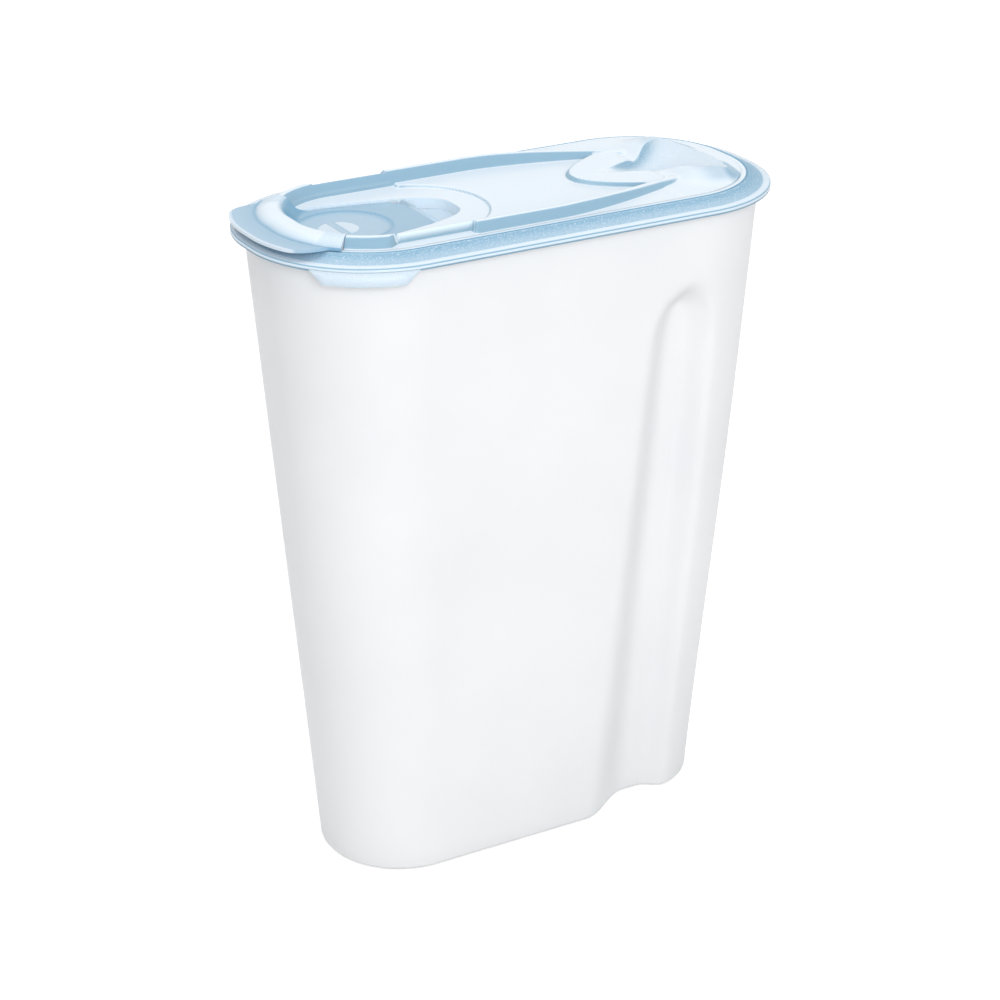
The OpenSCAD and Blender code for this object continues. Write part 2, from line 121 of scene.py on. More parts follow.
FLOOR_HALF = 6.0
floor_mesh = bpy.data.meshes.new("floor")
floor_mesh.from_pydata(
    [(x * FLOOR_HALF, y * FLOOR_HALF, 0) for x, y in ((-1, -1), (1, -1), (1, 1), (-1, 1))],
    [], [(0, 1, 2, 3)],
)
floor = bpy.data.objects.new("floor", floor_mesh)
floor.location = (0, 0, -0.0004)
bpy.context.collection.objects.link(floor)
floor_paint = bpy.data.materials.new("floor_white")
floor_paint.use_nodes = True
paint = floor_paint.node_tree
paint.nodes.clear()
paint_out = paint.nodes.new("ShaderNodeOutputMaterial")
paint_matt = paint.nodes.new("ShaderNodeBsdfDiffuse")
paint_matt.inputs["Color"].default_value = (0.62, 0.62, 0.62, 1)
paint_glow = paint.nodes.new("ShaderNodeEmission")
paint_glow.inputs["Color"].default_value = (1, 1, 1, 1)
paint_glow.inputs["Strength"].default_value = 0.55
paint_dark = paint.nodes.new("ShaderNodeEmission")
paint_dark.inputs["Strength"].default_value = 0.0
paint_pick = paint.nodes.new("ShaderNodeMixShader")
paint_sum = paint.nodes.new("ShaderNodeAddShader")
paint.links.new(seen_rays(paint), paint_pick.inputs[0])
paint.links.new(paint_dark.outputs[0], paint_pick.inputs[1])
paint.links.new(paint_glow.outputs[0], paint_pick.inputs[2])
paint.links.new(paint_matt.outputs[0], paint_sum.inputs[0])
paint.links.new(paint_pick.outputs[0], paint_sum.inputs[1])
paint.links.new(paint_sum.outputs[0], paint_out.inputs["Surface"])
floor_mesh.materials.append(floor_paint)

# Container.
# A moulded tub of milky polypropylene: an oval that tapers downwards, with a hand grip drawn
# into both long sides. Its skin is laid through rings, up the outside and down the inside.

LID_L = 227.0
LID_W = 108.0
CORNER_R = 50.0
CORNER_X = LID_L / 2 - CORNER_R
CORNER_Y = LID_W / 2 - CORNER_R
RIM_Z = 272.8
RIM_INSET = 4.9
BASE_L = 173.5
BASE_W = 68.5
BASE_R = 33.0
BASE_SHIFT = 1.2
WALL = 1.8
FLOOR_T = 2.4
FOOT_H = 1.6
GRIP_TOP = 244.0
RING_SIDE = 44
RING_CORNER = 30


def ease(t):
    t = min(1.0, max(0.0, t))
    return t * t * (3 - 2 * t)


def mix(a, b, t):
    return a + (b - a) * t


def oval_quarter(length, width, radius):
    """From the middle of a long side to the middle of an end."""
    cx, cy = length / 2 - radius, width / 2 - radius
    points = [(cx * i / RING_SIDE, width / 2) for i in range(RING_SIDE)]
    for i in range(RING_CORNER + 1):
        turn = math.radians(90 * (1 - i / RING_CORNER))
        points.append((cx + radius * math.cos(turn), cy + radius * math.sin(turn)))
    return points + [(length / 2, 0.0)]


def grip_share(x, z):
    """Share of the half width that the hand grip takes away."""
    t = z / GRIP_TOP
    share = mix(0.40, 0.17, t)
    arch = 12 * max(0.0, (z - GRIP_TOP + 30) / 30) ** 2.5
    start = mix(20, 40, t) + arch
    run = mix(28, 15, t)
    stop = mix(55, 60, t) - arch / 2
    column = 0.52 * (1 - ease(z / (GRIP_TOP - 40)))
    across = ease((x - start) / run) * mix(1, column, ease((x - stop) / 12))
    return share * across * ease((GRIP_TOP - z) / 15)


def tub_quarter(t, inset):
    """Quarter of the tub's oval at a share t of its height, mixed from the base and the rim."""
    edge = RIM_INSET + inset
    high = oval_quarter(LID_L - 2 * edge, LID_W - 2 * edge, CORNER_R - edge)
    low = oval_quarter(BASE_L - 2 * inset, BASE_W - 2 * inset, BASE_R - inset)
    return [(mix(a[0], b[0], t), mix(a[1], b[1], t)) for a, b in zip(low, high)]


def tub_ring(z, inset):
    """Whole ring of the tub, with the hand grips drawn in by a share of the outer half width."""
    t = z / RIM_Z
    shift = BASE_SHIFT * (1 - t)
    quarter = tub_quarter(t, inset)
    outer = tub_quarter(t, 0.0)
    back = []
    for (x, y), (ox, oy) in zip(quarter, outer):
        back.append((x + shift, y - oy * grip_share(ox + shift, max(0.0, z))))
    front = [(shift - x, y) for x, y in quarter]
    last = len(quarter) - 1
    ring = [back[i] for i in range(last, -1, -1)]
    ring += [front[i] for i in range(1, last + 1)]
    ring += [(x, -y) for x, y in (front[i] for i in range(last - 1, -1, -1))]
    ring += [(x, -y) for x, y in (back[i] for i in range(1, last))]
    return [(x, y, z) for x, y in ring]


def finish_mesh(mesh, weld=0.01, crease=180):
    """Weld, turn the normals outwards, shade smooth up to the crease angle, and go to metres."""
    work = bmesh.new()
    work.from_mesh(mesh)
    bmesh.ops.remove_doubles(work, verts=work.verts, dist=weld)
    bmesh.ops.recalc_face_normals(work, faces=work.faces)
    bmesh.ops.scale(work, vec=(MM, MM, MM), verts=work.verts)
    for face in work.faces:
        face.smooth = True
    for edge in work.edges:
        if len(edge.link_faces) == 2 and edge.calc_face_angle() > math.radians(crease):
            edge.smooth = False
    work.to_mesh(mesh)
    work.free()


def place(name, mesh, material, body, slot, node=None):
    mesh.materials.clear()
    mesh.materials.append(material)
    piece = bpy.data.objects.new(name, mesh)
    bpy.context.collection.objects.link(piece)
    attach(piece, body)
    if node:
        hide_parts(node)
    return piece


def cells_between(ring_count, count):
    """Four-sided cells between neighbouring closed rings of count points each."""
    cells = []
    for j in range(ring_count - 1):
        for i in range(count):
            k = (i + 1) % count
            cells.append((j * count + i, j * count + k, (j + 1) * count + k, (j + 1) * count + i))
    return cells


def skin_through(name, rings):
    """Closed skin through rings of equal length, closed round a middle point at both ends."""
    count = len(rings[0])
    points = [p for ring in rings for p in ring]
    faces = cells_between(len(rings), count)
    for base, turn in ((0, 1), ((len(rings) - 1) * count, -1)):
        middle = len(points)
        points.append((40.0, 0.0, points[base][2]))
        for i in range(count):
            faces.append((base + i, base + (i + 1) % count, middle)[::turn])
    mesh = bpy.data.meshes.new(name)
    mesh.from_pydata(points, [], faces)
    return mesh


def new_material(name):
    material = bpy.data.materials.new(name)
    material.use_nodes = True
    tree = material.node_tree
    return material, tree, tree.nodes["Principled BSDF"]


def mould_grain_group():
    """Fine grain that a spark-worn mould leaves: a height, and a value for the gloss."""
    group = bpy.data.node_groups.new("mould_grain", "ShaderNodeTree")
    group.interface.new_socket("Size", in_out="INPUT", socket_type="NodeSocketFloat").default_value = 900
    group.interface.new_socket("Height", in_out="OUTPUT", socket_type="NodeSocketFloat")
    group.interface.new_socket("Patches", in_out="OUTPUT", socket_type="NodeSocketFloat")
    start = group.nodes.new("NodeGroupInput")
    end = group.nodes.new("NodeGroupOutput")
    where = group.nodes.new("ShaderNodeTexCoord")
    fine = group.nodes.new("ShaderNodeTexNoise")
    fine.inputs["Detail"].default_value = 3
    broad = group.nodes.new("ShaderNodeTexNoise")
    broad.inputs["Scale"].default_value = 14
    broad.inputs["Detail"].default_value = 2
    group.links.new(start.outputs["Size"], fine.inputs["Scale"])
    group.links.new(where.outputs["Object"], fine.inputs["Vector"])
    group.links.new(where.outputs["Object"], broad.inputs["Vector"])
    group.links.new(fine.outputs[0], end.inputs["Height"])
    group.links.new(broad.outputs[0], end.inputs["Patches"])
    return group


grain_group = mould_grain_group()


def add_grain(tree, size):
    grain = tree.nodes.new("ShaderNodeGroup")
    grain.node_tree = grain_group
    grain.inputs["Size"].default_value = size
    return grain


def map_range(tree, value, low, high, to_low, to_high):
    node = tree.nodes.new("ShaderNodeMapRange")
    tree.links.new(value, node.inputs["Value"])
    node.inputs["From Min"].default_value = low
    node.inputs["From Max"].default_value = high
    node.inputs["To Min"].default_value = to_low
    node.inputs["To Max"].default_value = to_high
    return node.outputs["Result"]


def mix_colour(tree, mask, one, two):
    node = tree.nodes.new("ShaderNodeMix")
    node.data_type = "RGBA"
    tree.links.new(mask, node.inputs["Factor"])
    for socket, colour in ((node.inputs["A"], one), (node.inputs["B"], two)):
        if isinstance(colour, tuple):
            socket.default_value = colour + (1.0,)
        else:
            tree.links.new(colour, socket)
    return node.outputs["Result"]


MILKY_LIGHT = (0.93, 0.935, 0.945)
MILKY_DEEP = (0.89, 0.90, 0.915)
tub_plastic, tub_tree, tub_shader = new_material("milky_polypropylene")
tub_grain = add_grain(tub_tree, 700)
tub_patches = map_range(tub_tree, tub_grain.outputs["Patches"], 0.35, 0.65, 0, 1)
tub_tree.links.new(
    mix_colour(tub_tree, tub_patches, MILKY_LIGHT, MILKY_DEEP), tub_shader.inputs["Base Color"])
tub_tree.links.new(
    map_range(tub_tree, tub_grain.outputs["Patches"], 0.3, 0.7, 0.36, 0.44), tub_shader.inputs["Roughness"])
tub_shader.inputs["Subsurface Weight"].default_value = 0.25
tub_shader.inputs["Subsurface Radius"].default_value = (1, 1, 1)
tub_shader.inputs["Subsurface Scale"].default_value = 0.004
tub_shader.inputs["Alpha"].default_value = 0.90
tub_bump = tub_tree.nodes.new("ShaderNodeBump")
tub_bump.inputs["Strength"].default_value = 0.06
tub_bump.inputs["Distance"].default_value = 0.0002
tub_tree.links.new(tub_grain.outputs["Height"], tub_bump.inputs["Height"])
tub_tree.links.new(tub_bump.outputs[0], tub_shader.inputs["Normal"])

wall_heights = [mix(FOOT_H, GRIP_TOP - 42, i / 36) for i in range(1, 37)]
wall_heights += [GRIP_TOP - 42 + 48 * i / 30 for i in range(1, 31)]
wall_heights += [mix(GRIP_TOP + 6, RIM_Z - 0.5, i / 5) for i in range(1, 6)]
tub_rings = [
    tub_ring(0.0, 1.3),
    tub_ring(0.15, 0.75),
    tub_ring(0.6, 0.25),
    tub_ring(FOOT_H, 0.0),
]
tub_rings += [tub_ring(z, 0.0) for z in wall_heights]
tub_rings += [
    tub_ring(RIM_Z - 0.1, 0.2),
    tub_ring(RIM_Z, 0.5),
    tub_ring(RIM_Z, WALL - 0.5),
    tub_ring(RIM_Z - 0.1, WALL - 0.2),
]
tub_rings += [tub_ring(z, WALL) for z in reversed(wall_heights[1:])]
tub_rings += [
    tub_ring(FLOOR_T + 3.2, WALL),
    tub_ring(FLOOR_T + 1.6, WALL + 0.3),
    tub_ring(FLOOR_T + 0.6, WALL + 1.1),
    tub_ring(FLOOR_T, WALL + 3.0),
]
tub_mesh = skin_through("container_body", tub_rings)
finish_mesh(tub_mesh)
place("container_body", tub_mesh, tub_plastic, "container", "container_plastic", "container")

# Rim of the lid.
# Pale blue plastic, like the rest of the lid: flange, frosted shoulder, a crease and the ledge
# on top, and the channel with its inner leg under it, one section carried round the oval.

FLANGE_Z = RIM_Z - 2.1
SEAT_Z = RIM_Z + 0.3
LEDGE_Z = 276.0
LEDGE_START = 10.0
LEDGE_SEAM = 12.2
LEDGE_REACH = 13.4
LEG_Z = RIM_Z - 6.3

BLUE_PALE = (0.71, 0.785, 0.855)
# The pale blue is the plastic's own. The others are painted: shade on sloping walls, light on upright walls,
# the deepest shade, and glints.
BLUE_SLOPE_SHADE = (0.25, 0.41, 0.53)
BLUE_UPRIGHT_LIGHT = (0.72, 0.82, 0.90)
BLUE_PAINTED_SHADE = (0.14, 0.34, 0.50)
BLUE_PAINTED_GLINT = (0.86, 0.91, 0.95)


def slope_shade_group():
    """Masks for painted shade by slope: sloping walls are painted deeper blue and upright walls lighter,
    where the eye looks along the thin moulding.
    """
    group = bpy.data.node_groups.new("wall_slope_shade", "ShaderNodeTree")
    group.interface.new_socket("Slope Shade", in_out="OUTPUT", socket_type="NodeSocketFloat")
    group.interface.new_socket("Upright Light", in_out="OUTPUT", socket_type="NodeSocketFloat")
    end = group.nodes.new("NodeGroupOutput")
    where = group.nodes.new("ShaderNodeTexCoord")
    parts = group.nodes.new("ShaderNodeSeparateXYZ")
    size = group.nodes.new("ShaderNodeMath")
    size.operation = "ABSOLUTE"
    group.links.new(where.outputs["Normal"], parts.inputs[0])
    group.links.new(parts.outputs["Z"], size.inputs[0])
    for name, high, low in (("Slope Shade", 0.975, 0.80), ("Upright Light", 0.45, 0.2)):
        ramp = group.nodes.new("ShaderNodeMapRange")
        ramp.interpolation_type = "SMOOTHSTEP"
        ramp.inputs["From Min"].default_value = high
        ramp.inputs["From Max"].default_value = low
        ramp.inputs["To Min"].default_value = 0
        ramp.inputs["To Max"].default_value = 1
        group.links.new(size.outputs[0], ramp.inputs["Value"])
        group.links.new(ramp.outputs["Result"], end.inputs[name])
    return group


slope_shade_masks = slope_shade_group()


def combine(tree, operation, one, two):
    node = tree.nodes.new("ShaderNodeMath")
    node.operation = operation
    for socket, value in zip(node.inputs, (one, two)):
        if isinstance(value, float):
            socket.default_value = value
        else:
            tree.links.new(value, socket)
    return node.outputs[0]


def piece_value(tree, name):
    node = tree.nodes.new("ShaderNodeAttribute")
    node.attribute_name = name
    return node.outputs["Fac"]


def lid_material(name, with_slope_shade):
    """Pale blue plastic with painted shade, deeper blue by the piece's stored shade value, rough by its
    frost, with painted glints on the frosted grain.
    """
    material, tree, shader = new_material(name)
    grain = add_grain(tree, 1700)
    frost = piece_value(tree, "frost")
    colour = BLUE_PALE
    # Painted shade by slope: sloping walls deeper blue, upright walls lighter.
    if with_slope_shade:
        shade_by_slope = tree.nodes.new("ShaderNodeGroup")
        shade_by_slope.node_tree = slope_shade_masks
        colour = mix_colour(tree, shade_by_slope.outputs["Slope Shade"], colour, BLUE_SLOPE_SHADE)
        colour = mix_colour(tree, shade_by_slope.outputs["Upright Light"], colour, BLUE_UPRIGHT_LIGHT)
    # Painted shade stored on the piece: deeper blue where its value is high.
    colour = mix_colour(tree, piece_value(tree, "painted_shade"), colour, BLUE_PAINTED_SHADE)
    # Painted glints: light specks on the frosted grain.
    painted_glint = combine(tree, "MULTIPLY", map_range(tree, grain.outputs["Height"], 0.52, 0.66, 0, 0.32), frost)
    tree.links.new(mix_colour(tree, painted_glint, colour, BLUE_PAINTED_GLINT), shader.inputs["Base Color"])
    gloss = map_range(tree, grain.outputs["Patches"], 0.3, 0.7, 0.2, 0.28)
    rough = combine(tree, "ADD", gloss, combine(tree, "MULTIPLY", frost, 0.26))
    tree.links.new(rough, shader.inputs["Roughness"])
    shader.inputs["Subsurface Weight"].default_value = 0.2
    shader.inputs["Subsurface Radius"].default_value = (0.6, 0.8, 1)
    shader.inputs["Subsurface Scale"].default_value = 0.002
    bump = tree.nodes.new("ShaderNodeBump")
    bump.inputs["Distance"].default_value = 0.0003
    strength = combine(tree, "ADD", 0.03, combine(tree, "MULTIPLY", frost, 0.4))
    tree.links.new(strength, bump.inputs["Strength"])
    tree.links.new(grain.outputs["Height"], bump.inputs["Height"])
    tree.links.new(bump.outputs[0], shader.inputs["Normal"])
    return material


lid_blue = lid_material("pale_blue_lid", True)
flap_blue = lid_material("pale_blue_flap", False)


def paint_plan(mesh, painted_shade, frost):
    """Store the painted shade (how much deeper blue) and the frost of each point, from functions of x and y.
    """
    for name, value in (("painted_shade", painted_shade), ("frost", frost)):
        layer = mesh.attributes.new(name, "FLOAT", "POINT")
        for item, vert in zip(layer.data, mesh.vertices):
            item.value = value(vert.co.x / MM, vert.co.y / MM)


def curve_through(points):
    """Straight lines through points in rising order of x, level beyond both ends."""
    def value(x):
        if x <= points[0][0]:
            return points[0][1]
        for (x0, y0), (x1, y1) in zip(points, points[1:]):
            if x <= x1:
                return mix(y0, y1, (x - x0) / (x1 - x0))
        return points[-1][1]
    return value


def inset_of(x, y):
    """Distance of a point inside the edge of the flange."""
    qx, qy = abs(x) - CORNER_X, abs(y) - CORNER_Y
    return CORNER_R - math.hypot(max(qx, 0.0), max(qy, 0.0)) - min(max(qx, qy), 0.0)


RIM_SECTION = [
    (0.0, FLANGE_Z), (0.0, FLANGE_Z + 1.5), (-0.2, FLANGE_Z + 1.9), (-0.6, FLANGE_Z + 2.1),
    (-2.9, FLANGE_Z + 2.3), (-3.3, FLANGE_Z + 2.45), (-4.4, 273.5), (-5.6, 273.95),
    (-6.8, 274.5), (-7.8, 275.1), (-8.6, 275.65), (-9.0, 275.85), (-9.25, 275.8), (-9.4, 275.45),
    (-9.65, 275.4), (-9.85, 275.75), (-LEDGE_START, 275.92), (-10.3, LEDGE_Z - 0.03),
    (-LEDGE_REACH, LEDGE_Z - 0.03), (-LEDGE_REACH, 274.3), (-8.4, 274.3), (-8.7, LEG_Z),
    (-7.7, LEG_Z), (-7.0, SEAT_Z), (-4.6, SEAT_Z), (-4.6, FLANGE_Z),
]
RIM_STEPS = 64
# Painted shade across the rim by inset: the flange pale, the shoulder deeper blue, darkest in the crease,
# none on the ledge.
rim_painted_shade = curve_through([
    (0.6, 0.1), (2.9, 0.15), (3.3, 0.62), (6.0, 0.64), (8.6, 0.58), (9.3, 0.9), (9.9, 0.7), (10.3, 0.0),
])


def profile_curve(name, points):
    """Closed flat curve for a section, x across the path and y upwards."""
    data = bpy.data.curves.new(name, "CURVE")
    data.dimensions = "2D"
    data.fill_mode = "NONE"
    spline = data.splines.new("POLY")
    spline.points.add(len(points) - 1)
    for point, (x, y) in zip(spline.points, points):
        point.co = (x * MM, -y * MM, 0, 1)
    spline.use_cyclic_u = True
    curve = bpy.data.objects.new(name, data)
    bpy.context.collection.objects.link(curve)
    return curve


def oval_sweep_tree():
    """Carries a section round an oval of a given length, width and corner radius."""
    tree = bpy.data.node_groups.new("section_round_oval", "GeometryNodeTree")
    face = tree.interface
    face.new_socket("Geometry", in_out="INPUT", socket_type="NodeSocketGeometry")
    face.new_socket("Length", in_out="INPUT", socket_type="NodeSocketFloat")
    face.new_socket("Width", in_out="INPUT", socket_type="NodeSocketFloat")
    face.new_socket("Corner Radius", in_out="INPUT", socket_type="NodeSocketFloat")
    face.new_socket("Corner Steps", in_out="INPUT", socket_type="NodeSocketInt")
    face.new_socket("Section", in_out="INPUT", socket_type="NodeSocketObject")
    face.new_socket("Material", in_out="INPUT", socket_type="NodeSocketMaterial")
    face.new_socket("Geometry", in_out="OUTPUT", socket_type="NodeSocketGeometry")
    start = tree.nodes.new("NodeGroupInput")
    end = tree.nodes.new("NodeGroupOutput")
    oval = tree.nodes.new("GeometryNodeCurvePrimitiveQuadrilateral")
    rounded = tree.nodes.new("GeometryNodeFilletCurve")
    if hasattr(rounded, "mode"):
        rounded.mode = "POLY"
    section = tree.nodes.new("GeometryNodeObjectInfo")
    sweep = tree.nodes.new("GeometryNodeCurveToMesh")
    real = tree.nodes.new("GeometryNodeRealizeInstances")
    paint = tree.nodes.new("GeometryNodeSetMaterial")
    link = tree.links.new
    link(start.outputs["Length"], oval.inputs["Width"])
    link(start.outputs["Width"], oval.inputs["Height"])
    link(oval.outputs["Curve"], rounded.inputs["Curve"])
    link(start.outputs["Corner Radius"], rounded.inputs["Radius"])
    link(start.outputs["Corner Steps"], rounded.inputs["Count"])
    link(start.outputs["Section"], section.inputs["Object"])
    link(rounded.outputs["Curve"], sweep.inputs["Curve"])
    link(section.outputs["Geometry"], sweep.inputs["Profile Curve"])
    link(sweep.outputs["Mesh"], real.inputs["Geometry"])
    link(real.outputs["Geometry"], paint.inputs["Geometry"])
    link(start.outputs["Material"], paint.inputs["Material"])
    link(paint.outputs["Geometry"], end.inputs["Geometry"])
    return tree


sweep_tree = oval_sweep_tree()


def swept_oval(name, section, length, width, radius, steps, material):
    """Plain mesh of a section carried round an oval by the tree above."""
    holder = bpy.data.objects.new(name + "_holder", bpy.data.meshes.new(name + "_holder"))
    bpy.context.collection.objects.link(holder)
    curve = profile_curve(name + "_section", section)
    modifier = holder.modifiers.new("sweep", "NODES")
    modifier.node_group = sweep_tree
    values = {
        "Length": length * MM, "Width": width * MM, "Corner Radius": radius * MM,
        "Corner Steps": steps, "Section": curve, "Material": material,
    }
    for item in sweep_tree.interface.items_tree:
        if item.in_out == "INPUT" and item.name in values:
            modifier[item.identifier] = values[item.name]
    graph = bpy.context.evaluated_depsgraph_get()
    mesh = bpy.data.meshes.new_from_object(holder.evaluated_get(graph))
    holder.modifiers.clear()
    bpy.data.objects.remove(holder)
    bpy.data.objects.remove(curve)
    work = bmesh.new()
    work.from_mesh(mesh)
    bmesh.ops.recalc_face_normals(work, faces=work.faces)
    for face in work.faces:
        face.smooth = True
    work.to_mesh(mesh)
    work.free()
    return mesh


rim_mesh = swept_oval("lid_rim", RIM_SECTION, LID_L, LID_W, CORNER_R, RIM_STEPS, lid_blue)
# The rim's painted shade grows deeper towards the handle end.
paint_plan(
    rim_mesh,
    lambda x, y: rim_painted_shade(inset_of(x, y)) * mix(1, 1.3, ease((x - 70) / 40)),
    lambda x, y: 1.0 if 2.6 < inset_of(x, y) < 9.2 else 0.0,
)
place("lid_rim", rim_mesh, lid_blue, "lid", "lid_plastic", "lid")

# Top of the lid.
# The raised ridge, the sunken panel with its lower pad, and the thumb rest at the handle end,
# one moulded skin. Its height is worked out at each point of a net that follows the oval.

CREST_Z = 280.0
PANEL_Z = 275.5
PAD_Z = 274.5
WELL_FLOOR_Z = RIM_Z - 2.6
SHEET_T = 1.3
FINE_WELD = 0.0001
CREASE = 60
RIDGE_FOOT = 12.9
RIDGE_CREST = 17.3
RIDGE_END = 21.8
ridge_section = curve_through([
    (RIDGE_FOOT, 0), (13.3, 0.35), (13.9, 1.25), (14.6, 2.4), (15.2, 3.2), (15.8, 3.7),
    (16.5, 3.95), (RIDGE_CREST, 4.0), (18.0, 3.93), (18.7, 3.65), (19.4, 3.05), (20.1, 2.1),
    (20.8, 1.0), (21.4, 0.25), (RIDGE_END, 0),
])
ARM_IN = 16.5
ARM_END_X = 66.0
arm_level = curve_through([(12, 1.0), (28, 0.88), (42, 0.72), (55, 0.58), (65, 0.38), (75, 0.0)])
NOTCH_WALL = 18.2
WELL_TIP_X = -24.0
WELL_L = 49.0
WELL_HALF = 23.5
FLAP_TURN = 48.0
FLAP_GAP = 0.35
PAD_X = -33.5
PAD_R = 30.0
PAD_TIP_X = -12.0
PAD_STEP = 1.0
REST_TIP_X = 30.0
REST_Z = 277.3
REST_L = 30.0
REST_HALF = 25.5
SCOOP_D = 4.2
SCOOP_TIP_X = 42.0
SCOOP_LOW_X = 66.0
SCOOP_END_X = 98.0
DOME_H = 3.8
DOME_BEND = 190
HINGE_X = -38.7
HINGE_Z = PAD_Z - 2.2


def arm_shift(x):
    """How far the ridge's arm is drawn in towards the long axis at the handle end."""
    return ARM_IN * min(1.0, max(0.0, x / ARM_END_X)) ** 1.6


def notch(x, y, across):
    """1 in the flat notch in the ridge's outer slope beside the flap."""
    side = abs(y)
    left = -66.4 - (side - 34.3) * 1.3
    right = -35.6 - (side - 35.6) * 0.17
    along = ease((x - left) / 0.9 + 0.5) * ease((right - x) / 0.9 + 0.5)
    return along * ease((NOTCH_WALL - across) / 0.8 + 0.5)


def pad_depth(x, y):
    """How far a point lies inside the pad's outline."""
    round_end = PAD_R - math.hypot(x - (PAD_TIP_X - PAD_R), y)
    return max(PAD_X - x, round_end)


def well_edge(x, y, grow):
    """Distance inside the outline of the well's tongue, from its tip forwards."""
    s = WELL_TIP_X + grow - x
    side = abs(y) - grow
    along = s - WELL_L * (max(0.0, side) / WELL_HALF) ** (1 / 0.31)
    if s <= 0:
        return along
    across = WELL_HALF * min(1.0, s / WELL_L) ** 0.31 - side
    return along if s < WELL_L and abs(along) < abs(across) else across


def turn_of(x, y):
    """Angle of a point round the corner of the oval at the spout, from the long axis."""
    return math.degrees(math.atan2(max(0.0, abs(y) - CORNER_Y), -CORNER_X - x))


def before_end(x, y):
    """Distance round the corner from a point to the line where the flap's dome ends."""
    reach = math.hypot(CORNER_X + x, max(0.0, abs(y) - CORNER_Y))
    return (FLAP_TURN - turn_of(x, y)) * math.radians(1) * reach


def flap_room(x, y, grow, foot):
    """Above zero where the flap lies in plan: its tongue, and the dome's sector round the end."""
    tongue = min(well_edge(x, y, grow), inset_of(x, y) - 20)
    if x >= -CORNER_X:
        return tongue
    return max(tongue, min(before_end(x, y) + grow, inset_of(x, y) - foot))


def rest_side(x, y):
    """Distance inside the outline of the thumb rest's platform."""
    bend = REST_L / REST_HALF ** 2
    return (x - REST_TIP_X - bend * y * y) / math.hypot(1.0, 2 * bend * y)


def scoop_wide(x):
    return mix(2.0, 19.0, max(0.0, min(1.0, (x - SCOOP_TIP_X) / 46)) ** 1.15)


def scoop_low(x):
    if x < SCOOP_LOW_X:
        return REST_Z - SCOOP_D * ease((x - SCOOP_TIP_X) / (SCOOP_LOW_X - SCOOP_TIP_X))
    return mix(REST_Z - SCOOP_D, LEDGE_Z + 0.5, ease((x - SCOOP_LOW_X) / (SCOOP_END_X - SCOOP_LOW_X)))


def scoop_height(x, y):
    u = y / scoop_wide(x)
    return scoop_low(x) + (REST_Z + 0.3 - scoop_low(x)) * u * u


def dome_height(x, y):
    """Finger domes on both sides of the scoop, at the end of the ridge's arms."""
    along = ease((x - 62) / 15) * ease((SCOOP_END_X - y * y / DOME_BEND - x) / 10)
    return LEDGE_Z + DOME_H * along * ease((40 - abs(y)) / 19)


def soft_min(a, b, blend):
    """The lower of two heights, rounded where they cross."""
    near = max(0.0, blend - abs(a - b)) / blend
    return min(a, b) - near * near * blend / 4


def lid_height(x, y):
    inset = inset_of(x, y)
    if x <= 0:
        z = mix(LEDGE_Z, PANEL_Z, ease((inset - RIDGE_CREST) / 4.2))
        z += ridge_section(inset) * (CREST_Z - LEDGE_Z) / 4
        if inset < NOTCH_WALL + 1 and -90 < x < -30:
            z = mix(z, LEDGE_Z, notch(x, y, inset))
        if inset > 20.6:
            z -= PAD_STEP * ease(pad_depth(x, y) / 1.5 + 0.5) * ease((inset - 20.6) / 0.8)
        return z
    across = LID_W / 2 - abs(y) - arm_shift(x)
    z = mix(mix(LEDGE_Z, PANEL_Z, ease((across - RIDGE_CREST) / 4.2)), LEDGE_Z, ease((x - 60) / 6))
    z += ridge_section(across) * arm_level(x) * (CREST_Z - LEDGE_Z) / 4
    if across > RIDGE_CREST:
        rise = ease(rest_side(x, y) / 1.7 + 0.5) * (1 - ease((x - 60) / 8))
        z = max(z, mix(PANEL_Z, REST_Z, rise))
    if x > 56:
        z = -soft_min(-z, -dome_height(x, y), 0.5)
    if x > SCOOP_TIP_X and abs(y) < 1.6 * scoop_wide(x):
        z = soft_min(z, scoop_height(x, y), 0.5)
    return z


def oval_net(insets, inner_steps, corner_steps, side_steps, end_steps):
    """Rings of points that follow the oval inwards, then close on the long axis."""
    ring_turns = []
    for k, (sx, sy) in enumerate(((1, 1), (-1, 1), (-1, -1), (1, -1))):
        for i in range(corner_steps):
            ring_turns.append(("corner", sx, sy, math.radians(90 * (k + i / corner_steps))))
        stretch = side_steps if k % 2 == 0 else end_steps
        for i in range(stretch):
            ring_turns.append(("straight", k, i / stretch, 0))
    rings = []
    for inset in insets:
        radius = CORNER_R - inset
        ring = []
        for kind, a, b, turn in ring_turns:
            if kind == "corner":
                ring.append((a * CORNER_X + radius * math.cos(turn), b * CORNER_Y + radius * math.sin(turn)))
            elif a == 0:
                ring.append((mix(CORNER_X, -CORNER_X, b), CORNER_Y + radius))
            elif a == 1:
                ring.append((-CORNER_X - radius, mix(CORNER_Y, -CORNER_Y, b)))
            elif a == 2:
                ring.append((mix(-CORNER_X, CORNER_X, b), -CORNER_Y - radius))
            else:
                ring.append((CORNER_X + radius, mix(-CORNER_Y, CORNER_Y, b)))
        rings.append(ring)
    last = rings[-1]
    for step in range(1, inner_steps + 1):
        t = step / inner_steps
        rings.append([(mix(x, max(-70.0, min(70.0, x)), t), mix(y, 0.0, t)) for x, y in last])
    points = [p for ring in rings for p in ring]
    return points, cells_between(len(rings), len(last))


